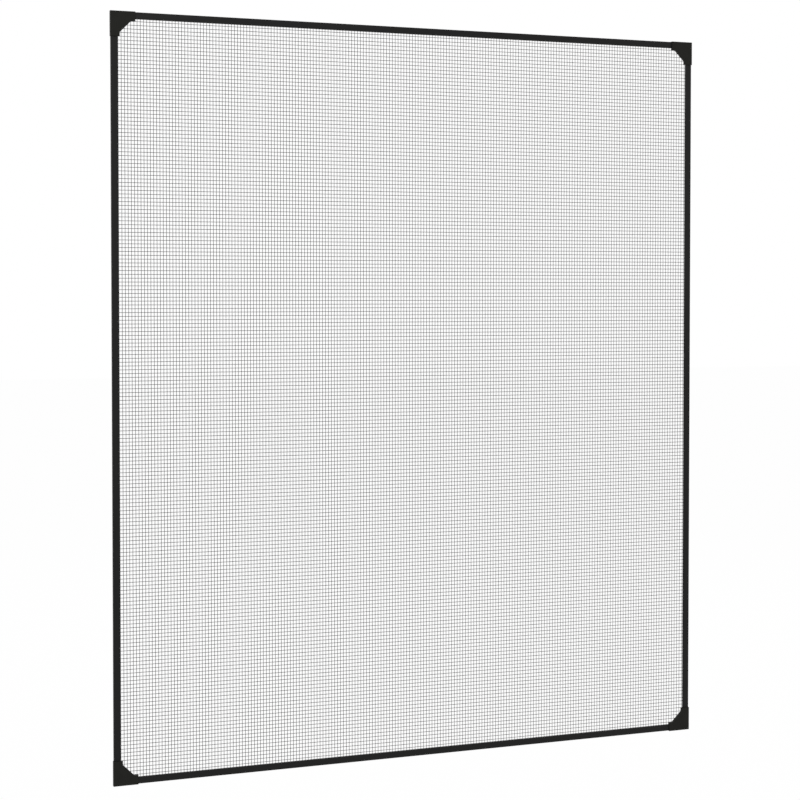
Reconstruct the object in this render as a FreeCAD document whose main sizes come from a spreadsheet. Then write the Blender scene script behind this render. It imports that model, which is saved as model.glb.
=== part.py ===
"""A window screen frame: a slim rectangular frame of four plastic rails that carries a stretched fly net.

The rails are one extruded section cut to two lengths. Four moulded corner pieces cap their ends and join
them with legs that slide in the rails' rear channels. Between the legs those channels hold flexible magnet
strips, which hold the screen to the window. A round cord presses the net's hem into a groove near each
rail's inner edge.

The frame stands upright. X runs across it, Z runs up, and its front faces -Y. The origin is the middle of
the whole screen. Lengths are in millimetres.
"""
import FreeCAD, Part

import math
import os
from types import SimpleNamespace

import Sketcher

SIZES = {
    # Over the corner pieces
    "screen_width": 1100.0,
    "screen_height": 1300.0,
    # Rail section
    "rail_width": 11.5,
    "rail_depth": 6.3,
    "rail_edge_radius": 0.8,
    "outer_wall": 1.0,
    "web_wall": 1.1,
    "groove_floor": 0.8,
    "net_depth": 4.0,
    # Magnet strip
    "magnet_width": 4.8,
    "magnet_thickness": 3.8,
    "magnet_proud": 0.3,
    "magnet_fit": 0.1,
    "magnet_end_gap": 0.5,
    # Spline cord
    "spline_diameter": 2.6,
    "spline_fit": 0.05,
    "spline_end_gap": 1.0,
    # Corner piece
    "face_plate": 1.0,
    "cap_wall": 0.8,
    "rail_fit": 0.1,
    "arm_length": 42.2,
    "collar_width": 15.8,
    "stub_length": 6.8,
    "block_side": 15.0,
    "rail_end_gap": 0.2,
    "gusset_wall": 1.0,
    "net_clearance": 0.2,
    "core_wall": 1.6,
    "core_depth": 4.3,
    "leg_length": 26.0,
    "leg_fit": 0.1,
    "leg_taper": 0.9,
    "edge_softening": 0.4,
    # Net
    "net_thickness": 0.3,
    "gaps_across": 10,
    "gaps_up": 12,
    "strand_width": 3.0,
    "ridge_width": 1.2,
    "ridge_height": 0.2,
}

SHEET = "Sizes"
PARTS_FOLDER = "parts"
SMALLEST_CHANGE = 0.01
NEAR = 1e-4


class Size:
    """A length or count that keeps the formula tying it to the sheet beside its present value."""

    def __init__(self, formula, value):
        self.formula = formula
        self.value = float(value)

    @staticmethod
    def of(term):
        """A plain number as a Size, and a Size as it is."""
        return term if isinstance(term, Size) else Size(repr(float(term)), term)

    def __add__(self, other):
        other = Size.of(other)
        return Size(f"({self.formula} + {other.formula})", self.value + other.value)

    def __sub__(self, other):
        other = Size.of(other)
        return Size(f"({self.formula} - {other.formula})", self.value - other.value)

    def __mul__(self, other):
        other = Size.of(other)
        return Size(f"{self.formula} * {other.formula}", self.value * other.value)

    def __truediv__(self, other):
        other = Size.of(other)
        return Size(f"{self.formula} / {other.formula}", self.value / other.value)

    def __neg__(self):
        return Size(f"(0 - {self.formula})", -self.value)

    def __rsub__(self, other):
        return Size.of(other) - self

    __radd__ = __add__
    __rmul__ = __mul__


def write_sheet(doc):
    """Puts every driving size in the sheet, and returns them all as bound sizes."""
    sheet = doc.addObject("Spreadsheet::Sheet", SHEET)
    for row, (name, value) in enumerate(SIZES.items(), start=1):
        sheet.set(f"A{row}", name)
        sheet.set(f"B{row}", str(value))
        sheet.setAlias(f"B{row}", name)
    doc.recompute()
    return SimpleNamespace(**{name: Size(f"{SHEET}.{name}", value) for name, value in SIZES.items()})


def add_shared_sizes(s):
    """Works out the sizes that several pieces share."""
    s.channel_width = s.magnet_width + s.magnet_fit * 2
    s.channel_depth = s.magnet_thickness - s.magnet_proud
    s.groove_width = s.spline_diameter + (s.net_thickness + s.spline_fit) * 2
    s.groove_outer = s.outer_wall + s.channel_width + s.web_wall
    s.groove_inner = s.groove_outer + s.groove_width
    s.rail_inset = s.cap_wall + s.rail_fit
    s.rail_start = s.block_side + s.rail_end_gap
    s.leg_tip = s.block_side + s.leg_length
    s.magnet_start = s.leg_tip + s.magnet_end_gap
    s.front_stack = s.rail_fit + s.face_plate
    s.whole_depth = s.front_stack + s.rail_depth + s.magnet_proud
    s.rail_front = s.front_stack - s.whole_depth / 2


def new_body(doc, name):
    """An empty body whose label names its file."""
    body = doc.addObject("PartDesign::Body", name)
    body.Label = name
    return body


def origin_part(body, role):
    """The body's own origin plane or axis with this role."""
    return next(part for part in body.Origin.OriginFeatures if part.Role == role)


def bind(feature, path, size):
    """Ties one property of a feature to the sheet."""
    feature.setExpression(path, Size.of(size).formula)


def new_sketch(body, name, plane, offset=None):
    """A sketch on one of the body's origin planes, moved along that plane's normal by offset."""
    sketch = body.newObject("Sketcher::SketchObject", name)
    sketch.AttachmentSupport = [(origin_part(body, plane), "")]
    sketch.MapMode = "FlatFace"
    if offset is not None:
        bind(sketch, "AttachmentOffset.Base.z", offset)
    return sketch


def place_point(sketch, geometry, position, point):
    """Holds one point of the sketch at bound distances from the sketch's origin."""
    for kind, size in zip(("DistanceX", "DistanceY"), point):
        size = Size.of(size)
        row = sketch.addConstraint(Sketcher.Constraint(kind, -1, 1, geometry, position, size.value))
        sketch.setExpression(f"Constraints[{row}]", size.formula)


def draw_outline(sketch, points):
    """A closed outline of straight lines through the points, each a pair of sizes."""
    first = sketch.GeometryCount
    count = len(points)
    vectors = [FreeCAD.Vector(Size.of(x).value, Size.of(y).value, 0) for x, y in points]
    for i in range(count):
        sketch.addGeometry(Part.LineSegment(vectors[i], vectors[(i + 1) % count]), False)
    for i in range(count):
        following = first + (i + 1) % count
        sketch.addConstraint(Sketcher.Constraint("Coincident", first + i, 2, following, 1))
    for i, point in enumerate(points):
        place_point(sketch, first + i, 1, point)


def draw_circle(sketch, centre, diameter):
    """A full circle with a bound centre and diameter."""
    normal = FreeCAD.Vector(0, 0, 1)
    middle = FreeCAD.Vector(centre[0].value, centre[1].value, 0)
    circle = sketch.addGeometry(Part.Circle(middle, normal, diameter.value / 2), False)
    place_point(sketch, circle, 3, centre)
    row = sketch.addConstraint(Sketcher.Constraint("Diameter", circle, diameter.value))
    sketch.setExpression(f"Constraints[{row}]", diameter.formula)


def add_pad(body, name, sketch, length, backwards=False, both_ways=False):
    """Raises a sketch by a bound length, along its normal, against it or half to each side."""
    pad = body.newObject("PartDesign::Pad", name)
    pad.Profile = sketch
    pad.Reversed = backwards
    pad.Midplane = both_ways
    bind(pad, "Length", length)
    return pad


def add_pocket(doc, body, name, sketch, depth):
    """Cuts a sketch into the solid along the sketch's normal, and stops if nothing was cut away."""
    doc.recompute()
    before = body.Shape.Volume
    pocket = body.newObject("PartDesign::Pocket", name)
    pocket.Profile = sketch
    pocket.Reversed = True
    bind(pocket, "Length", depth)
    doc.recompute()
    if before - body.Shape.Volume < SMALLEST_CHANGE:
        raise RuntimeError(f"{name} cuts nothing")
    return pocket


def soften_edges(doc, body, name, radius, is_wanted):
    """Rounds the edges of the body that the test picks."""
    doc.recompute()
    base = body.Tip
    picked = [f"Edge{i}" for i, edge in enumerate(base.Shape.Edges, start=1) if is_wanted(edge)]
    if not picked:
        raise RuntimeError(f"{name} finds no edge")
    fillet = body.newObject("PartDesign::Fillet", name)
    fillet.Base = (base, picked)
    bind(fillet, "Radius", radius)
    return fillet


def add_mirrored(body, name, feature, plane):
    """The same feature again on the other side of an origin plane."""
    mirrored = body.newObject("PartDesign::Mirrored", name)
    mirrored.Originals = [feature]
    mirrored.MirrorPlane = (origin_part(body, plane), [""])
    body.Tip = mirrored


def add_row(body, name, feature, axis, extent, count):
    """The same feature repeated evenly along an origin axis."""
    row = body.newObject("PartDesign::LinearPattern", name)
    row.Originals = [feature]
    row.Direction = (origin_part(body, axis), [""])
    bind(row, "Length", extent)
    bind(row, "Occurrences", count)
    body.Tip = row


def place_on_side(body, s, side):
    """Turns a piece that is drawn for the top rail to its side, and moves it out to the frame's edge."""
    turns = {"top": 0, "right": 90, "bottom": 180, "left": 270}
    outward = {
        "top": ("z", s.screen_height / 2 - s.rail_inset),
        "right": ("x", s.screen_width / 2 - s.rail_inset),
        "bottom": ("z", s.rail_inset - s.screen_height / 2),
        "left": ("x", s.rail_inset - s.screen_width / 2),
    }
    turn = FreeCAD.Rotation(FreeCAD.Vector(0, 1, 0), turns[side])
    body.Placement = FreeCAD.Placement(FreeCAD.Vector(0, 0, 0), turn)
    axis, distance = outward[side]
    bind(body, f"Placement.Base.{axis}", distance)
    bind(body, "Placement.Base.y", s.rail_front)


def side_length(s, side):
    """The whole screen's length along this side."""
    return s.screen_width if side in ("top", "bottom") else s.screen_height


def make_rail(doc, s, side):
    """One length of the extruded section, open at its back for the magnet strip and the net's cord."""
    body = new_body(doc, f"rail_{side}")
    channel_floor = s.rail_depth - s.channel_depth
    channel_inner = s.outer_wall + s.channel_width
    section = new_sketch(body, f"rail_{side}_section", "YZ_Plane")
    draw_outline(section, [
        (0, 0),
        (0, -s.rail_width),
        (s.net_depth, -s.rail_width),
        (s.net_depth, -s.groove_inner),
        (s.groove_floor, -s.groove_inner),
        (s.groove_floor, -s.groove_outer),
        (s.rail_depth, -s.groove_outer),
        (s.rail_depth, -channel_inner),
        (channel_floor, -channel_inner),
        (channel_floor, -s.outer_wall),
        (s.rail_depth, -s.outer_wall),
        (s.rail_depth, 0),
    ])
    add_pad(body, f"rail_{side}_bar", section, side_length(s, side) - s.rail_start * 2, both_ways=True)

    def is_front_corner(edge):
        middle = edge.BoundBox.Center
        at_edge = abs(middle.z) < NEAR or abs(middle.z + s.rail_width.value) < NEAR
        return edge.BoundBox.XLength > s.rail_width.value and abs(middle.y) < NEAR and at_edge

    soften_edges(doc, body, f"rail_{side}_soft_edges", s.rail_edge_radius, is_front_corner)
    place_on_side(body, s, side)
    return body


def make_magnet(doc, s, side):
    """The flexible magnet strip that lies in the rail's rear channel between two corner legs."""
    body = new_body(doc, f"magnet_{side}")
    floor = s.rail_depth - s.channel_depth
    near = s.outer_wall + s.magnet_fit
    section = new_sketch(body, f"magnet_{side}_section", "YZ_Plane")
    draw_outline(section, [
        (floor, -near),
        (floor, -(near + s.magnet_width)),
        (floor + s.magnet_thickness, -(near + s.magnet_width)),
        (floor + s.magnet_thickness, -near),
    ])
    add_pad(body, f"magnet_{side}_strip", section, side_length(s, side) - s.magnet_start * 2, both_ways=True)
    place_on_side(body, s, side)
    return body


def make_spline(doc, s, side):
    """The round cord that wedges the net's hem in the rail's groove."""
    body = new_body(doc, f"spline_{side}")
    section = new_sketch(body, f"spline_{side}_section", "YZ_Plane")
    across = s.groove_outer + s.groove_width / 2
    depth = s.groove_floor + s.net_thickness + s.spline_fit + s.spline_diameter / 2
    draw_circle(section, (depth, -across), s.spline_diameter)
    length = side_length(s, side) - (s.rail_start + s.spline_end_gap) * 2
    add_pad(body, f"spline_{side}_cord", section, length, both_ways=True)
    place_on_side(body, s, side)
    return body


def make_corner(doc, s, name, turn, x_sign, z_sign):
    """A moulded cap and joint, drawn for the top right corner with its outer point at the body's origin."""
    body = new_body(doc, name)
    gusset_start = s.arm_length - s.stub_length
    pocket_inner = s.rail_inset + s.rail_width + s.rail_fit
    gusset_depth = s.net_depth - s.net_clearance
    plate_rear = s.rail_fit

    face = new_sketch(body, f"{name}_face_outline", "XZ_Plane", plate_rear)
    draw_outline(face, [
        (0, 0),
        (-s.arm_length, 0),
        (-s.arm_length, -s.collar_width),
        (-gusset_start, -s.collar_width),
        (-s.collar_width, -gusset_start),
        (-s.collar_width, -s.arm_length),
        (0, -s.arm_length),
    ])
    add_pad(body, f"{name}_face", face, s.face_plate)

    collar = new_sketch(body, f"{name}_collar_outline", "XZ_Plane", plate_rear)
    draw_outline(collar, [
        (-pocket_inner, -pocket_inner),
        (-s.arm_length, -pocket_inner),
        (-s.arm_length, -s.collar_width),
        (-gusset_start, -s.collar_width),
        (-s.collar_width, -gusset_start),
        (-s.collar_width, -s.arm_length),
        (-pocket_inner, -s.arm_length),
    ])
    add_pad(body, f"{name}_collar", collar, s.rail_fit + gusset_depth, backwards=True)

    near = pocket_inner + s.gusset_wall
    far = s.collar_width - s.gusset_wall
    end = s.arm_length - s.gusset_wall
    slant = gusset_start + s.collar_width - s.gusset_wall * math.sqrt(2) - far
    hollow = new_sketch(body, f"{name}_hollow_outline", "XZ_Plane", -gusset_depth)
    draw_outline(hollow, [
        (-near, -near),
        (-end, -near),
        (-end, -far),
        (-slant, -far),
        (-far, -slant),
        (-far, -end),
        (-near, -end),
    ])
    add_pocket(doc, body, f"{name}_hollow", hollow, s.rail_fit + gusset_depth)

    block = new_sketch(body, f"{name}_block_outline", "XZ_Plane", plate_rear)
    draw_outline(block, [
        (0, 0),
        (-s.arm_length, 0),
        (-s.arm_length, -s.cap_wall),
        (-s.block_side, -s.cap_wall),
        (-s.block_side, -s.block_side),
        (-s.cap_wall, -s.block_side),
        (-s.cap_wall, -s.arm_length),
        (0, -s.arm_length),
    ])
    add_pad(body, f"{name}_block", block, s.rail_fit + s.rail_depth, backwards=True)

    half_rib = s.gusset_wall / math.sqrt(2) / 2
    rib_near = s.block_side - s.gusset_wall
    rib_far = (gusset_start + s.collar_width) / 2 - s.gusset_wall / 2
    rib = new_sketch(body, f"{name}_rib_outline", "XZ_Plane", plate_rear)
    draw_outline(rib, [
        (-(rib_near + half_rib), -(rib_near - half_rib)),
        (-(rib_far + half_rib), -(rib_far - half_rib)),
        (-(rib_far - half_rib), -(rib_far + half_rib)),
        (-(rib_near - half_rib), -(rib_near + half_rib)),
    ])
    add_pad(body, f"{name}_rib", rib, s.rail_fit + gusset_depth, backwards=True)

    leg_outer = s.rail_inset + s.outer_wall + s.leg_fit
    leg_inner = leg_outer + s.channel_width - s.leg_fit * 2
    leg_root = s.block_side - s.core_wall
    shoulder = s.leg_tip - s.leg_taper
    legs = new_sketch(body, f"{name}_leg_outlines", "XZ_Plane", -s.rail_depth)
    across_points = [
        (leg_root, leg_outer),
        (shoulder, leg_outer),
        (s.leg_tip, leg_outer + s.leg_taper),
        (s.leg_tip, leg_inner - s.leg_taper),
        (shoulder, leg_inner),
        (leg_root, leg_inner),
    ]
    draw_outline(legs, [(-along, -across) for along, across in across_points])
    draw_outline(legs, [(-across, -along) for along, across in across_points])
    add_pad(body, f"{name}_legs", legs, s.channel_depth - s.leg_fit)

    core_far = s.block_side - s.core_wall
    core = new_sketch(body, f"{name}_core_outline", "XZ_Plane", -s.rail_depth)
    draw_outline(core, [
        (-s.core_wall, -s.core_wall),
        (-core_far, -s.core_wall),
        (-core_far, -core_far),
        (-s.core_wall, -core_far),
    ])
    add_pocket(doc, body, f"{name}_core", core, s.core_depth)

    def is_face_rim(edge):
        return abs(edge.BoundBox.YMin + s.front_stack.value) < NEAR and edge.BoundBox.YLength < NEAR

    soften_edges(doc, body, f"{name}_soft_rim", s.edge_softening, is_face_rim)

    rotation = FreeCAD.Rotation(FreeCAD.Vector(0, 1, 0), turn)
    body.Placement = FreeCAD.Placement(FreeCAD.Vector(0, 0, 0), rotation)
    bind(body, "Placement.Base.x", s.screen_width * x_sign / 2)
    bind(body, "Placement.Base.y", s.rail_front)
    bind(body, "Placement.Base.z", s.screen_height * z_sign / 2)
    return body


def hem_section(s, sketch, rail_edge, depth_first):
    """The net's hem, folded round the cord in the groove of the rail whose outer edge is at rail_edge."""
    inner = rail_edge - s.groove_inner
    outer = rail_edge - s.groove_outer
    floor = s.groove_floor
    points = [
        (s.net_depth, inner),
        (floor, inner),
        (floor, outer),
        (s.net_depth, outer),
        (s.net_depth, outer - s.net_thickness),
        (floor + s.net_thickness, outer - s.net_thickness),
        (floor + s.net_thickness, inner + s.net_thickness),
        (s.net_depth, inner + s.net_thickness),
    ]
    draw_outline(sketch, points if depth_first else [(across, depth) for depth, across in points])


def make_net(doc, s):
    """The net as one thin wall with ridges for its strands and see-through gaps, hemmed into the grooves."""
    body = new_body(doc, "net")
    half_width = s.screen_width / 2 - s.rail_inset
    half_height = s.screen_height / 2 - s.rail_inset
    reach = s.groove_inner - s.net_thickness
    x_edge = half_width - reach
    z_edge = half_height - reach
    x_notch = s.screen_width / 2 - s.rail_start
    z_notch = s.screen_height / 2 - s.rail_start

    outline = new_sketch(body, "net_outline", "XZ_Plane", -s.net_depth)
    draw_outline(outline, [
        (x_edge, -z_notch),
        (x_edge, z_notch),
        (x_notch, z_notch),
        (x_notch, z_edge),
        (-x_notch, z_edge),
        (-x_notch, z_notch),
        (-x_edge, z_notch),
        (-x_edge, -z_notch),
        (-x_notch, -z_notch),
        (-x_notch, -z_edge),
        (x_notch, -z_edge),
        (x_notch, -z_notch),
    ])
    add_pad(body, "net_wall", outline, s.net_thickness, backwards=True)

    hem_across = new_sketch(body, "net_hem_across_section", "YZ_Plane")
    hem_section(s, hem_across, half_height, depth_first=True)
    top_hem = add_pad(body, "net_top_hem", hem_across, x_notch * 2, both_ways=True)
    add_mirrored(body, "net_bottom_hem", top_hem, "XY_Plane")
    hem_upright = new_sketch(body, "net_hem_upright_section", "XY_Plane")
    hem_section(s, hem_upright, half_width, depth_first=False)
    right_hem = add_pad(body, "net_right_hem", hem_upright, z_notch * 2, both_ways=True)
    add_mirrored(body, "net_left_hem", right_hem, "YZ_Plane")

    clear_width = (half_width - s.rail_width) * 2
    clear_height = (half_height - s.rail_width) * 2
    pitch_across = clear_width / s.gaps_across
    pitch_up = clear_height / s.gaps_up
    gap_left = s.strand_width / 2 - clear_width / 2
    gap_right = gap_left + pitch_across - s.strand_width
    gap_low = s.strand_width / 2 - clear_height / 2
    gap_high = gap_low + pitch_up - s.strand_width
    gap = new_sketch(body, "net_gap_outline", "XZ_Plane", -(s.net_depth + s.net_thickness))
    draw_outline(gap, [(gap_left, gap_low), (gap_right, gap_low), (gap_right, gap_high), (gap_left, gap_high)])
    first_gap = add_pocket(doc, body, "net_first_gap", gap, s.net_thickness)
    columns = body.newObject("PartDesign::LinearPattern", "net_gap_columns")
    columns.Direction = (origin_part(body, "X_Axis"), [""])
    bind(columns, "Length", clear_width - pitch_across)
    bind(columns, "Occurrences", s.gaps_across)
    rows = body.newObject("PartDesign::LinearPattern", "net_gap_rows")
    rows.Direction = (origin_part(body, "Z_Axis"), [""])
    bind(rows, "Length", clear_height - pitch_up)
    bind(rows, "Occurrences", s.gaps_up)
    gaps = body.newObject("PartDesign::MultiTransform", "net_gaps")
    gaps.Originals = [first_gap]
    gaps.Transformations = [columns, rows]
    body.Tip = gaps

    half_ridge = s.ridge_width / 2
    upright_end = clear_height / 2 - s.net_clearance
    upright_at = pitch_across - clear_width / 2
    upright = new_sketch(body, "net_upright_ridge_outline", "XZ_Plane", -s.net_depth)
    draw_outline(upright, [
        (upright_at - half_ridge, -upright_end),
        (upright_at + half_ridge, -upright_end),
        (upright_at + half_ridge, upright_end),
        (upright_at - half_ridge, upright_end),
    ])
    ridge = add_pad(body, "net_upright_ridge", upright, s.ridge_height)
    add_row(body, "net_upright_ridges", ridge, "X_Axis", clear_width - pitch_across * 2, s.gaps_across - 1)

    level_end = clear_width / 2 - s.net_clearance
    level_at = pitch_up - clear_height / 2
    level = new_sketch(body, "net_level_ridge_outline", "XZ_Plane", -(s.net_depth + s.net_thickness))
    draw_outline(level, [
        (-level_end, level_at - half_ridge),
        (level_end, level_at - half_ridge),
        (level_end, level_at + half_ridge),
        (-level_end, level_at + half_ridge),
    ])
    ridge = add_pad(body, "net_level_ridge", level, s.ridge_height, backwards=True)
    add_row(body, "net_level_ridges", ridge, "Z_Axis", clear_height - pitch_up * 2, s.gaps_up - 1)

    bind(body, "Placement.Base.y", s.rail_front)
    return body


def check_document(doc, bodies):
    """Stops if any object failed, or if a piece isn't one whole valid solid."""
    for item in doc.Objects:
        if "Invalid" in item.State or "Error" in item.State:
            raise RuntimeError(f"{item.Name} failed: {item.State}")
    for body in bodies:
        shape = body.Shape
        if shape.isNull() or not shape.isValid() or len(shape.Solids) != 1:
            raise RuntimeError(f"{body.Label} isn't one valid solid")


def main():
    """Draws every piece, checks them all and writes one file for each."""
    doc = FreeCAD.newDocument("window_screen_frame")
    s = write_sheet(doc)
    add_shared_sizes(s)
    bodies = []
    for side in ("top", "right", "bottom", "left"):
        bodies.append(make_rail(doc, s, side))
        bodies.append(make_magnet(doc, s, side))
        bodies.append(make_spline(doc, s, side))
    corners = (
        ("corner_top_right", 0, 1, 1),
        ("corner_bottom_right", 90, 1, -1),
        ("corner_bottom_left", 180, -1, -1),
        ("corner_top_left", 270, -1, 1),
    )
    for name, turn, x_sign, z_sign in corners:
        bodies.append(make_corner(doc, s, name, turn, x_sign, z_sign))
    bodies.append(make_net(doc, s))
    doc.recompute()
    check_document(doc, bodies)
    os.makedirs(PARTS_FOLDER, exist_ok=True)
    for body in bodies:
        body.Shape.exportStep(os.path.join(PARTS_FOLDER, f"{body.Label}.step"))
        box = body.Shape.BoundBox
        print(f"{body.Label}: {box.XLength:.2f} x {box.YLength:.2f} x {box.ZLength:.2f} mm")


main()
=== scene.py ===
"""Dresses a window screen frame: black plastic rails and corner pieces round a woven fly net.

The rails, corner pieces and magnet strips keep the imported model's shape and get soft edges and moulding
marks. The cords get ribs. The net is woven yarn by yarn, and each yarn's ends are tucked round the cords.
All lengths are in metres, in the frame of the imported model: X across, Z up, the front towards -Y.
"""

import logging
import math
from collections.abc import Iterable
from dataclasses import dataclass
from enum import Enum

import bmesh
import bpy
from mathutils import Matrix, Vector


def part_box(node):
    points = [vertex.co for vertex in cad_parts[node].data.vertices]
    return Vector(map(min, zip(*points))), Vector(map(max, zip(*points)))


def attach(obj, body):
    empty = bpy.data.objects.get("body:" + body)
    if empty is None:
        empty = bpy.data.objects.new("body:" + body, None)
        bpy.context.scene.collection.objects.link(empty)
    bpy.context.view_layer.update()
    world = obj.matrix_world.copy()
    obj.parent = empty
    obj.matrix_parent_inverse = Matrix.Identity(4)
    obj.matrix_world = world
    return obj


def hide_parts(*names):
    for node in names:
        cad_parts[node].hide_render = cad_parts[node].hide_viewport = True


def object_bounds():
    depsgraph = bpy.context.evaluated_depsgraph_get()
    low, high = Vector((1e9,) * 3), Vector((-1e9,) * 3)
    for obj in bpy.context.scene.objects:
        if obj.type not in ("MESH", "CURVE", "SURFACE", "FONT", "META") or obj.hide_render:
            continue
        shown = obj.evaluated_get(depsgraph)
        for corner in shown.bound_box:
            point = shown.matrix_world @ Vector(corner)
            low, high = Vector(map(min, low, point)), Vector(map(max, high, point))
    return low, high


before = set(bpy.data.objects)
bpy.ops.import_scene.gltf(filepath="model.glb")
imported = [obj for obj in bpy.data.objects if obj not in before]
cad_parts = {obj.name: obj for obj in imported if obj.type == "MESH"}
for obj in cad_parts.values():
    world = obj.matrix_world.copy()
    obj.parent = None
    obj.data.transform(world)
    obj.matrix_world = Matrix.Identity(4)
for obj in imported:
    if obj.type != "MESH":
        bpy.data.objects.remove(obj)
CAD_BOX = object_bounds()

MM = 0.001
BODY = "root"
SIDES = ("top", "right", "bottom", "left")
CORNERS = ("top_right", "bottom_right", "bottom_left", "top_left")
BACKWARDS = Vector((0.0, 1.0, 0.0))
NOISE_SPAN = (0.35, 0.65)
WHITE = (1.0, 1.0, 1.0, 1.0)
LOG = logging.getLogger("screen")

Tone = tuple[float, float, float]
Span = tuple[float, float]
Stations = list[tuple[float, float]]
Parts = list[bmesh.types.BMVert | bmesh.types.BMEdge | bmesh.types.BMFace]
Owner = bpy.types.Material | bpy.types.World


class Run(Enum):
    """The two ways a rail or a yarn can run."""

    ACROSS = "x"
    UPRIGHT = "z"

    @property
    def direction(self) -> Vector:
        """The unit vector of this way."""
        return Vector((1, 0, 0)) if self is Run.ACROSS else Vector((0, 0, 1))

    @property
    def other(self) -> "Run":
        """The way that crosses this one."""
        return Run.UPRIGHT if self is Run.ACROSS else Run.ACROSS

    @property
    def sideways(self) -> Vector:
        """The unit vector in the screen's plane at a right angle to this way."""
        return self.other.direction

    def stretched(self, amount: float) -> Vector:
        """A scale of 1 along each axis, but for this way, where it is the amount."""
        return Vector((1.0, 1.0, 1.0)) + self.direction * (amount - 1.0)


def run_of(side: str) -> Run:
    """The way the rail on a side runs."""
    return Run.ACROSS if side in ("top", "bottom") else Run.UPRIGHT


class Value:
    """An output socket of a node graph, with arithmetic that adds Math nodes."""

    def __init__(self, graph: "Graph", socket: bpy.types.NodeSocket) -> None:
        """Keeps the socket and the graph it belongs to."""
        self.graph = graph
        self.socket = socket

    def beside(self, output: str) -> "Value":
        """Another output of the same node."""
        return Value(self.graph, self.socket.node.outputs[output])

    def mixed(self, other: "Value", share: float) -> "Value":
        """This value and another, with a share of this one."""
        return self * share + other * (1.0 - share)

    def __add__(self, other: "Value | float") -> "Value":
        """This value plus another."""
        return self.graph.maths("ADD", self, other)

    def __sub__(self, other: "Value | float") -> "Value":
        """This value minus another."""
        return self.graph.maths("SUBTRACT", self, other)

    def __rsub__(self, other: float) -> "Value":
        """A number minus this value."""
        return self.graph.maths("SUBTRACT", other, self)

    def __mul__(self, other: "Value | float") -> "Value":
        """This value times another."""
        return self.graph.maths("MULTIPLY", self, other)

    __radd__ = __add__
    __rmul__ = __mul__


class Graph:
    """The shader nodes of a material or of the world."""

    def __init__(self, owner: Owner) -> None:
        """Empties the owner's node tree."""
        self.owner = owner
        self.owner.use_nodes = True
        self.tree = owner.node_tree
        self.tree.nodes.clear()

    def node(
        self,
        kind: str,
        settings: dict[str, object],
        inputs: dict[str | int, object],
        output: str | int = 0,
    ) -> Value | None:
        """Adds any node.

        Args:
            kind: the node's type.
            settings: its properties, or "stops" for a ramp's list of (position, colour).
            inputs: what each input socket takes, a Value for a link and otherwise a constant.
            output: the output socket that is returned.

        Returns:
            The chosen output, or None where the node has none.
        """
        made = self.tree.nodes.new(kind)
        for key, setting in settings.items():
            if key == "stops":
                self.set_stops(made, setting)
            else:
                setattr(made, key, setting)
        for key, value in inputs.items():
            if isinstance(value, Value):
                self.tree.links.new(value.socket, made.inputs[key])
            else:
                made.inputs[key].default_value = value
        return Value(self, made.outputs[output]) if made.outputs else None

    @staticmethod
    def set_stops(ramp: bpy.types.Node, stops: Iterable[tuple[float, tuple[float, ...]]]) -> None:
        """Gives a colour ramp its stops.

        Args:
            ramp: the ramp node.
            stops: (position, colour) pairs in rising order, at least two.
        """
        elements = ramp.color_ramp.elements
        for i, (position, colour) in enumerate(stops):
            stop = elements[i] if i < len(elements) else elements.new(position)
            stop.position = position
            stop.color = colour

    def maths(self, operation: str, *operands: Value | float) -> Value:
        """The result of a Math node that takes some values or numbers."""
        return self.node("ShaderNodeMath", {"operation": operation}, dict(enumerate(operands)))

    def places(self, scale: Iterable[float] = (1.0, 1.0, 1.0)) -> Value:
        """Object coordinates, stretched by a scale along each axis."""
        where = self.node("ShaderNodeTexCoord", {}, {}, "Object")
        return self.node("ShaderNodeMapping", {}, {"Vector": where, "Scale": scale})

    def noise(self, where: Value, scale: float, detail: float, roughness: float = 0.5) -> Value:
        """Smooth noise at some places, nearly all of it within the noise span."""
        inputs = {"Vector": where, "Scale": scale, "Detail": detail, "Roughness": roughness}
        return self.node("ShaderNodeTexNoise", {}, inputs, "Fac")

    def spread(self, noise: Value, low: float, high: float) -> Value:
        """Maps the noise span to another span, held within it."""
        inputs = {"Value": noise, "From Min": NOISE_SPAN[0], "From Max": NOISE_SPAN[1]}
        return self.node("ShaderNodeMapRange", {"clamp": True}, {**inputs, "To Min": low, "To Max": high})

    def blend(self, noise: Value, dark: Tone, light: Tone) -> Value:
        """A colour that goes from one tone to another over the noise span."""
        stops = [(NOISE_SPAN[0], (*dark, 1.0)), (NOISE_SPAN[1], (*light, 1.0))]
        return self.node("ShaderNodeValToRGB", {"stops": stops}, {"Fac": noise}, "Color")

    def bump(self, height: Value, strength: float, distance: float) -> Value:
        """A surface normal from a height."""
        inputs = {"Height": height, "Strength": strength, "Distance": distance}
        return self.node("ShaderNodeBump", {}, inputs)

    def end(self, shader: Value) -> Owner:
        """Joins a shader to the output and returns the finished material or world."""
        kind = "World" if isinstance(self.owner, bpy.types.World) else "Material"
        self.node(f"ShaderNodeOutput{kind}", {}, {"Surface": shader})
        return self.owner


def start_material(name: str) -> Graph:
    """The empty graph of a new material."""
    return Graph(bpy.data.materials.new(name))


@dataclass(frozen=True, kw_only=True)
class Finish:
    """A dull surface whose colour, roughness and fine relief follow noise."""

    dark: Tone
    light: Tone
    shine: float
    rough: Span
    relief: float
    relief_depth: float

    def surface(self, tone: Value, wear: Value, height: Value) -> bpy.types.Material:
        """Ends the material that some values belong to.

        Args:
            tone: what the colour follows, from dark to light.
            wear: what the roughness follows.
            height: what the relief follows.

        Returns:
            The finished material.
        """
        graph = tone.graph
        inputs = {
            "Base Color": graph.blend(tone, self.dark, self.light),
            "Roughness": graph.spread(wear, *self.rough),
            "Specular IOR Level": self.shine,
            "Normal": graph.bump(height, self.relief, self.relief_depth),
        }
        return graph.end(graph.node("ShaderNodeBsdfPrincipled", {}, inputs))


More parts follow.
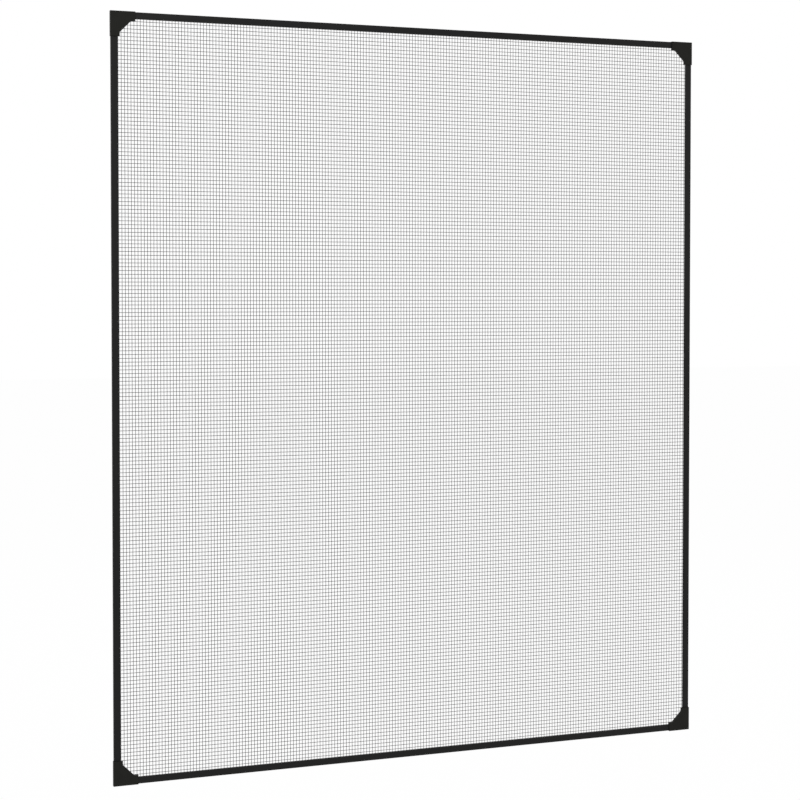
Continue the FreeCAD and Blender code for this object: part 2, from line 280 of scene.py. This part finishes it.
@dataclass(frozen=True, kw_only=True)
class LinedFinish(Finish):
    """A finish with fine lines along its run, over blotches."""

    run: Run
    name: str
    line_scale: float
    line_stretch: float
    line_detail: float
    line_share: float
    blotch_scale: float
    blotch_detail: float = 2.0

    def material(self) -> bpy.types.Material:
        """The surface with its lines along the run."""
        graph = start_material(f"{self.name}_{self.run.name.lower()}")
        along = graph.places(self.run.stretched(self.line_stretch))
        lines = graph.noise(along, self.line_scale, self.line_detail)
        blotches = graph.noise(graph.places(), self.blotch_scale, self.blotch_detail)
        return self.surface(lines.mixed(blotches, self.line_share), blotches, lines)


@dataclass(frozen=True, kw_only=True)
class ExtrudedPlastic(LinedFinish):
    """Matte black extruded plastic, with faint die lines along its length."""

    name: str = "extruded_plastic"
    dark: Tone = (0.0050, 0.0050, 0.0048)
    light: Tone = (0.0082, 0.0082, 0.0079)
    shine: float = 0.18
    rough: Span = (0.46, 0.58)
    relief: float = 0.35
    relief_depth: float = 0.03 * MM
    line_scale: float = 900.0
    line_stretch: float = 0.012
    line_detail: float = 4.0
    line_share: float = 0.65
    blotch_scale: float = 28.0


@dataclass(frozen=True, kw_only=True)
class MouldedPlastic(Finish):
    """Black moulded plastic with a fine spark-eroded grain."""

    dark: Tone = (0.0050, 0.0050, 0.0034)
    light: Tone = (0.0074, 0.0074, 0.0056)
    shine: float = 0.18
    rough: Span = (0.50, 0.62)
    relief: float = 0.5
    relief_depth: float = 0.02 * MM
    grain_scale: float = 2600.0
    grain_detail: float = 3.0
    grain_roughness: float = 0.6
    grain_share: float = 0.4
    blotch_scale: float = 60.0
    blotch_detail: float = 2.0

    def material(self) -> bpy.types.Material:
        """The plastic with its grain, over blotches."""
        graph = start_material("moulded_plastic")
        grain = graph.noise(graph.places(), self.grain_scale, self.grain_detail, self.grain_roughness)
        blotches = graph.noise(graph.places(), self.blotch_scale, self.blotch_detail)
        return self.surface(grain.mixed(blotches, self.grain_share), grain, grain)


@dataclass(frozen=True, kw_only=True)
class BondedFerrite(LinedFinish):
    """Flexible magnet strip: dark brown-grey, dull, with rolled lines along its length."""

    name: str = "bonded_ferrite"
    dark: Tone = (0.022, 0.019, 0.017)
    light: Tone = (0.045, 0.040, 0.036)
    shine: float = 0.35
    rough: Span = (0.55, 0.72)
    relief: float = 0.4
    relief_depth: float = 0.04 * MM
    line_scale: float = 1400.0
    line_stretch: float = 0.01
    line_detail: float = 3.0
    line_share: float = 0.6
    blotch_scale: float = 1800.0


@dataclass(frozen=True, kw_only=True)
class FoamedRubber(Finish):
    """Soft black cord with a slightly open skin."""

    dark: Tone = (0.010, 0.010, 0.010)
    light: Tone = (0.024, 0.024, 0.024)
    shine: float = 0.25
    rough: Span = (0.85, 0.70)
    relief: float = 0.5
    relief_depth: float = 0.05 * MM
    pore_scale: float = 3200.0
    pore_detail: float = 4.0
    pore_roughness: float = 0.65

    def material(self) -> bpy.types.Material:
        """The rubber with its pores."""
        graph = start_material("foamed_rubber")
        pores = graph.noise(graph.places(), self.pore_scale, self.pore_detail, self.pore_roughness)
        return self.surface(pores, pores, pores)


@dataclass(frozen=True, kw_only=True)
class CoatedYarn(Finish):
    """Charcoal glass-fibre yarn under a thin, slightly uneven plastic coat.

    The relief depth is how far the yarn's rounded middle stands above its edges.
    """

    dark: Tone = (0.011, 0.011, 0.011)
    light: Tone = (0.022, 0.022, 0.022)
    shine: float = 0.30
    rough: Span = (0.48, 0.62)
    relief: float = 1.0
    relief_depth: float = 0.14 * MM
    coat_scale: float = 1500.0
    coat_detail: float = 2.0
    coat_share: float = 0.15

    def material(self) -> bpy.types.Material:
        """The yarn, rounded across its width, with its uneven coat."""
        graph = start_material("coated_yarn")
        coat = graph.noise(graph.places(), self.coat_scale, self.coat_detail)
        place = graph.node("ShaderNodeTexCoord", {}, {}, "UV")
        across = graph.node("ShaderNodeSeparateXYZ", {}, {"Vector": place}, "Y") * 2.0 - 1.0
        crown = 1.0 - across * across
        return self.surface(coat, coat, crown + coat * self.coat_share)


def finish_piece(
    bm: bmesh.types.BMesh,
    name: str,
    material: bpy.types.Material,
    node: str,
    sharp_from: float = 35.0,
) -> bpy.types.Object:
    """Turns a bmesh into a finished piece of the screen.

    Args:
        bm: the piece's mesh in the row frame, which is used up.
        name: the piece's name.
        material: its finish.
        node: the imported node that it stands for.
        sharp_from: the angle in degrees from which an edge stays sharp.

    Returns:
        The new object, riding on the screen's body.
    """
    mesh = bpy.data.meshes.new(name)
    bm.to_mesh(mesh)
    bm.free()
    mesh.shade_smooth()
    mesh.set_sharp_from_angle(angle=math.radians(sharp_from))
    mesh.materials.append(material)
    piece = bpy.data.objects.new(name, mesh)
    bpy.context.scene.collection.objects.link(piece)
    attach(piece, BODY)
    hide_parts(node)
    triangles = sum(len(face.vertices) - 2 for face in mesh.polygons)
    LOG.info("%s: %d triangles, stands for %s", name, triangles, node)
    return piece


def soft_copy(
    node: str,
    edge: float,
    segments: int,
    sharp: float = 40.0,
    flat: float = 1.0,
    weld: float = 0.005 * MM,
) -> bmesh.types.BMesh:
    """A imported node's mesh, joined up, with its sharp edges rounded.

    Args:
        node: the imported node's name.
        edge: how far the rounding reaches from each edge.
        segments: the number of faces across the rounding.
        sharp: the angle in degrees from which an edge is rounded.
        flat: the angle in degrees up to which faces are taken as one.
        weld: the distance up to which vertices are taken as one.

    Returns:
        The rounded mesh, still open for more work.
    """
    bm = bmesh.new()
    bm.from_mesh(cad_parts[node].data)
    bmesh.ops.remove_doubles(bm, verts=bm.verts[:], dist=weld)
    bmesh.ops.dissolve_limit(bm, angle_limit=math.radians(flat), verts=bm.verts[:], edges=bm.edges[:])
    limit = math.radians(sharp)
    corners = [e for e in bm.edges if len(e.link_faces) == 2 and e.calc_face_angle(0.0) > limit]
    bmesh.ops.bevel(
        bm,
        geom=corners,
        affect="EDGES",
        offset=edge,
        offset_type="OFFSET",
        segments=segments,
        profile=0.5,
        material=-1,
        clamp_overlap=True,
    )
    bmesh.ops.remove_doubles(bm, verts=bm.verts[:], dist=weld)
    return bm


def shifted_copy(bm: bmesh.types.BMesh, parts: Parts, shift: Vector) -> Parts:
    """A copy of some parts of a mesh, moved by a shift."""
    copy = bmesh.ops.duplicate(bm, geom=parts)["geom"]
    verts = [part for part in copy if isinstance(part, bmesh.types.BMVert)]
    bmesh.ops.translate(bm, vec=shift, verts=verts)
    return copy


def add_row(bm: bmesh.types.BMesh, first: Parts, step: Vector, count: int) -> None:
    """Repeats some parts at equal steps, by copies of ever larger blocks.

    Args:
        bm: the mesh that holds the parts.
        first: its vertices, edges and faces that are there already.
        step: the shift from one copy to the next.
        count: how many there are in the end, the first included.
    """
    blocks = [first]
    while 2 ** len(blocks) <= count:
        shift = step * 2 ** (len(blocks) - 1)
        blocks.append(blocks[-1] + shifted_copy(bm, blocks[-1], shift))
    made = 2 ** (len(blocks) - 1)
    for power in reversed(range(len(blocks))):
        if made + 2**power <= count:
            shifted_copy(bm, blocks[power], step * made)
            made += 2**power


def turn_to(direction: Vector) -> Matrix:
    """The turn that takes the Z axis to a direction."""
    return Vector((0.0, 0.0, 1.0)).rotation_difference(direction).to_matrix().to_4x4()


@dataclass
class SideStrips:
    """Four packed strips, one along each side of the screen, that get softened edges.

    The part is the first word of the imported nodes' names, and the form is the last of the pieces' names.
    """

    part: str
    form: str
    slot: str
    finish: type[LinedFinish]
    edge: float
    segments: int = 2

    def build(self) -> None:
        """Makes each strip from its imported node, with lines along its own run."""
        finishes = {run: self.finish(run=run).material() for run in Run}
        for side in SIDES:
            node = f"{self.part}_{side}"
            bm = soft_copy(node, self.edge, self.segments)
            finish_piece(bm, f"{node}_{self.form}", finishes[run_of(side)], node)


@dataclass
class Rails(SideStrips):
    """The four extruded rails."""

    part: str = "rail"
    form: str = "extrusion"
    slot: str = "rail_plastic"
    finish: type[LinedFinish] = ExtrudedPlastic
    edge: float = 0.12 * MM


@dataclass
class Magnets(SideStrips):
    """The four flexible magnet strips behind the rails."""

    part: str = "magnet"
    form: str = "strip"
    slot: str = "magnet_strip"
    finish: type[LinedFinish] = BondedFerrite
    edge: float = 0.25 * MM


@dataclass
class CornerPieces:
    """The four moulded corner pieces, with the marks that a mould's ejector pins leave behind them.

    Each mark's foot is given by how far it lies inwards from the piece's outer front corner.
    """

    edge: float = 0.15 * MM
    segments: int = 2
    mark_radius: float = 1.6 * MM
    mark_height: float = 0.15 * MM
    mark_taper: float = 0.92
    mark_segments: int = 24
    marks: tuple[tuple[float, float, float], ...] = (
        (7.5 * MM, 3.1 * MM, 7.5 * MM),
        (24.0 * MM, 1.0 * MM, 15.6 * MM),
        (15.6 * MM, 1.0 * MM, 24.0 * MM),
    )

    def add_mark(self, bm: bmesh.types.BMesh, foot: Vector) -> None:
        """Adds a low round ejector mark.

        Args:
            bm: the corner piece's mesh.
            foot: the middle of the mark's foot, on the floor that it stands on.
        """
        bmesh.ops.create_cone(
            bm,
            cap_ends=True,
            segments=self.mark_segments,
            radius1=self.mark_radius,
            radius2=self.mark_radius * self.mark_taper,
            depth=self.mark_height * 2,
            matrix=Matrix.Translation(foot) @ turn_to(BACKWARDS),
        )

    def build(self) -> None:
        """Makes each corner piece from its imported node."""
        material = MouldedPlastic().material()
        for corner in CORNERS:
            node = f"corner_{corner}"
            bm = soft_copy(node, self.edge, self.segments)
            low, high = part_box(node)
            middle = (low + high) / 2
            inwards = Vector((math.copysign(1.0, -middle.x), 1.0, math.copysign(1.0, -middle.z)))
            outer = middle - (high - low) / 2 * inwards
            for mark in self.marks:
                self.add_mark(bm, outer + Vector(mark) * inwards)
            finish_piece(bm, f"{node}_moulding", material, node)


@dataclass
class Splines:
    """The four ribbed cords that wedge the net in the rails' grooves."""

    ribs: int = 12
    rib_depth: float = 0.1 * MM

    def build(self) -> None:
        """Makes each cord from a rod along its rail, with valleys between its ribs."""
        material = FoamedRubber().material()
        for side in SIDES:
            node = f"spline_{side}"
            low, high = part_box(node)
            run = run_of(side)
            length = (high - low).dot(run.direction)
            radius = (high.y - low.y) / 2
            bm = bmesh.new()
            rod = bmesh.ops.create_cone(
                bm, cap_ends=True, segments=self.ribs * 2, radius1=radius, radius2=radius, depth=length
            )["verts"]
            # The vertices come in pairs, one at each end, and every second pair is a valley.
            valleys = rod[2::4] + rod[3::4]
            share = 1.0 - self.rib_depth / radius
            bmesh.ops.scale(bm, vec=(share, share, 1.0), verts=valleys)
            place = Matrix.Translation((low + high) / 2) @ turn_to(run.direction)
            bmesh.ops.transform(bm, matrix=place, verts=rod)
            finish_piece(bm, f"{node}_cord", material, node)


@dataclass
class Net:
    """The woven net, one stretched sheet with its hem tucked round the cords.

    Each yarn is a thin flat tape that passes over and under the ones that cross it. Its finish rounds it.
    The cover is a share of the cut sheet's flat area, which the build works out but does not use. The
    cover is the share of the cut sheet that is declared as yarn, the least that a sheet may have.
    """

    cells: int = 203
    yarn_width: float = 0.83 * MM
    yarn_thickness: float = 0.28 * MM
    crimp: float = 0.15 * MM
    wall_thickness: float = 0.3 * MM
    ridge_height: float = 0.2 * MM
    bend: float = 0.30 * MM
    tail: float = 0.2 * MM
    crease: float = 85.0
    cover: float = 0.3

    def __post_init__(self) -> None:
        """Reads the places of the net, the cords and the rails from the frame."""
        low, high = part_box("net")
        size = CAD_BOX[1] - CAD_BOX[0]
        cord_low, cord_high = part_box("spline_top")
        groove_width = (high.z - cord_high.z) + (high.z - cord_low.z)
        self.low_y = low.y
        self.lip_y = high.y - self.wall_thickness - self.ridge_height
        self.middle_y = self.lip_y + self.crimp + self.yarn_thickness / 2
        self.pitch = {Run.ACROSS: size.z / self.cells, Run.UPRIGHT: size.x / self.cells}
        self.groove_outer = {Run.ACROSS: high.x, Run.UPRIGHT: high.z}
        self.groove_inner = {run: outer - groove_width for run, outer in self.groove_outer.items()}
        self.rail_end = {Run.ACROSS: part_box("rail_right")[1].z, Run.UPRIGHT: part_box("rail_top")[1].x}

    def tuck(self, run: Run) -> Stations:
        """The end of a yarn, from the lip round the cord to its trimmed tail.

        Args:
            run: the way the yarn runs.

        Returns:
            (distance along the run, depth) pairs, from the lip outwards.
        """
        half = self.yarn_thickness / 2
        inner = self.groove_inner[run] + half
        outer = self.groove_outer[run] - half
        floor = self.low_y + half
        return [
            (inner - self.bend, self.lip_y + half),
            (inner, self.lip_y - half),
            (inner, floor + self.bend),
            (inner + self.bend, floor),
            (outer - self.bend, floor),
            (outer, floor + self.bend),
            (outer, self.lip_y + self.tail),
        ]

    def line(self, run: Run, number: int, end: Stations) -> Stations:
        """The middle line of a yarn from end to end, with a station at each crossing.

        Args:
            run: the way the yarn runs.
            number: which yarn of its run it is, counted from the middle one.
            end: the stations past its last crossing.

        Returns:
            (distance along the run, depth) pairs.
        """
        pitch = self.pitch[run.other]
        last = math.ceil((end[0][0] - self.bend) / pitch) - 1
        first_side = self.crimp if run is Run.ACROSS else -self.crimp
        woven = [
            (crossing * pitch, self.middle_y + first_side * (-1) ** (number + crossing))
            for crossing in range(-last, last + 1)
        ]
        return [(-along, depth) for along, depth in reversed(end)] + woven + end

    def add_yarn(self, bm: bmesh.types.BMesh, run: Run, number: int, end: Stations) -> Parts:
        """Lays one yarn in its place, its front towards the screen's front.

        Args:
            bm: the net's mesh.
            run: the way the yarn runs.
            number: which yarn of its run it is.
            end: the stations past its last crossing.

        Returns:
            The new vertices, edges and faces.
        """
        line = self.line(run, number, end)
        spans = len(line) - 1
        # The grid is one unit wide and long: its X tells the station and its Y the share of the width.
        reach = 0.5
        verts = bmesh.ops.create_grid(bm, x_segments=spans, y_segments=1, size=reach, calc_uvs=True)["verts"]
        middle = run.sideways * (self.pitch[run] * number)
        side = run.direction.cross(BACKWARDS) * self.yarn_width
        for vert in verts:
            along, depth = line[round((vert.co.x + reach) * spans)]
            vert.co = middle + run.direction * along + side * vert.co.y + BACKWARDS * depth
        links = {part for v in verts for part in (*v.link_edges, *v.link_faces)}
        return [*verts, *links]

    def build(self) -> None:
        bm = bmesh.new()
        bm.loops.layers.uv.new("yarn")
        for run in Run:
            tucked = self.tuck(run)
            last = int(self.rail_end[run] / self.pitch[run])
            rows = [(number, self.add_yarn(bm, run, number, tucked)) for number in (-last, 1 - last)]
            for number, yarn in rows:
                add_row(bm, yarn, run.sideways * (2 * self.pitch[run]), len(range(number, last + 1, 2)))
            beyond = last + 1
            if beyond * self.pitch[run] + self.yarn_width < self.groove_inner[run.other]:
                short_end = [(self.rail_end[run.other] - self.yarn_width, self.middle_y)]
                for number in (-beyond, beyond):
                    self.add_yarn(bm, run, number, short_end)
        net = finish_piece(bm, "net_weave", CoatedYarn().material(), "net", self.crease)
        hem = 2 * (self.lip_y - self.low_y)
        flat = [2 * (self.groove_outer[run] + hem) for run in Run]
        flat[0] * flat[1] * self.cover


@dataclass
class Viewpoint:
    """The camera, at the photograph's place to the left of the screen and above its middle."""

    place: tuple[float, float, float] = (-1.121, -2.908, 0.189)
    turn: float = 20.48
    tilt: float = -1.58
    focal_pixels: float = 1750.0
    picture_pixels: float = 800.0
    sensor: float = 36.0
    shift: float = -0.08

    def build(self) -> None:
        """Makes the camera and gives it to the scene."""
        data = bpy.data.cameras.new("viewpoint")
        data.sensor_width = self.sensor
        data.lens = self.sensor * (self.focal_pixels / self.picture_pixels)
        data.shift_y = self.shift
        camera = bpy.data.objects.new("viewpoint", data)
        camera.location = self.place
        camera.rotation_euler = (math.radians(90.0 + self.tilt), 0.0, math.radians(-self.turn))
        bpy.context.scene.collection.objects.link(camera)
        bpy.context.scene.camera = camera


@dataclass(frozen=True)
class SoftLamp:
    """A square soft lamp that faces the screen's middle."""

    name: str
    place: tuple[float, float, float]
    power: float
    size: float = 2.0

    def build(self) -> None:
        """Hangs the lamp in its place."""
        data = bpy.data.lights.new(self.name, "AREA")
        data.shape = "SQUARE"
        data.size = self.size
        data.energy = self.power
        lamp = bpy.data.objects.new(self.name, data)
        lamp.location = self.place
        lamp.rotation_mode = "QUATERNION"
        lamp.rotation_quaternion = (-Vector(self.place)).to_track_quat("-Z", "Y")
        bpy.context.scene.collection.objects.link(lamp)


@dataclass
class Studio:
    """A white floor, a white surround and soft lamps."""

    floor_drop: float = 0.35
    floor_size: float = 40.0
    floor_paint: Tone = (0.9, 0.9, 0.9)
    floor_lift: float = 0.97
    surround: float = 0.75
    lamps: tuple[SoftLamp, ...] = (
        SoftLamp("key_lamp", (-2.2, -3.0, 2.6), 50.0),
        SoftLamp("back_lamp", (1.8, 3.2, 2.4), 40.0),
    )

    def add_floor(self) -> None:
        """Lays a white floor that keeps the screen's faint shadow."""
        bm = bmesh.new()
        bmesh.ops.create_grid(bm, x_segments=1, y_segments=1, size=self.floor_size / 2)
        bmesh.ops.translate(bm, vec=(0, 0, CAD_BOX[0].z - self.floor_drop), verts=bm.verts[:])
        mesh = bpy.data.meshes.new("floor")
        bm.to_mesh(mesh)
        bm.free()
        graph = start_material("floor_white")
        seen = graph.node("ShaderNodeLightPath", {}, {}, "Is Camera Ray") * self.floor_lift
        paint = graph.node("ShaderNodeBsdfDiffuse", {}, {"Color": (*self.floor_paint, 1.0)})
        white = graph.node("ShaderNodeEmission", {}, {"Color": WHITE, "Strength": 1.0})
        shade = graph.node("ShaderNodeMixShader", {}, {0: seen, 1: paint, 2: white})
        mesh.materials.append(graph.end(shade))
        floor = bpy.data.objects.new("floor", mesh)
        bpy.context.scene.collection.objects.link(floor)

    def add_surround(self) -> None:
        """Makes the world white to the eye and in reflections, and dimmer as a light."""
        graph = Graph(bpy.data.worlds.new("surround"))
        camera = graph.node("ShaderNodeLightPath", {}, {}, "Is Camera Ray")
        glossy = camera.beside("Is Glossy Ray")
        mirrored = graph.maths("MAXIMUM", glossy, camera.beside("Is Transmission Ray"))
        seen = graph.maths("MAXIMUM", camera, mirrored)
        dim = graph.node("ShaderNodeBackground", {}, {"Color": WHITE, "Strength": self.surround})
        white = graph.node("ShaderNodeBackground", {}, {"Color": WHITE, "Strength": 1.0})
        shade = graph.node("ShaderNodeMixShader", {}, {0: seen, 1: dim, 2: white})
        bpy.context.scene.world = graph.end(shade)

    def build(self) -> None:
        """Sets the floor, the surround, the lamps and the plain view transform."""
        self.add_floor()
        self.add_surround()
        for lamp in self.lamps:
            lamp.build()
        bpy.context.scene.view_settings.view_transform = "Standard"


def main() -> None:
    """Builds the camera, the set and each sub-assembly in order."""
    logging.basicConfig(level=logging.INFO, format="%(name)s %(message)s")
    for assembly in (Viewpoint(), Studio(), Rails(), CornerPieces(), Magnets(), Splines(), Net()):
        assembly.build()
        LOG.info("%s is in place", type(assembly).__name__)


if __name__ == "__main__":
    main()
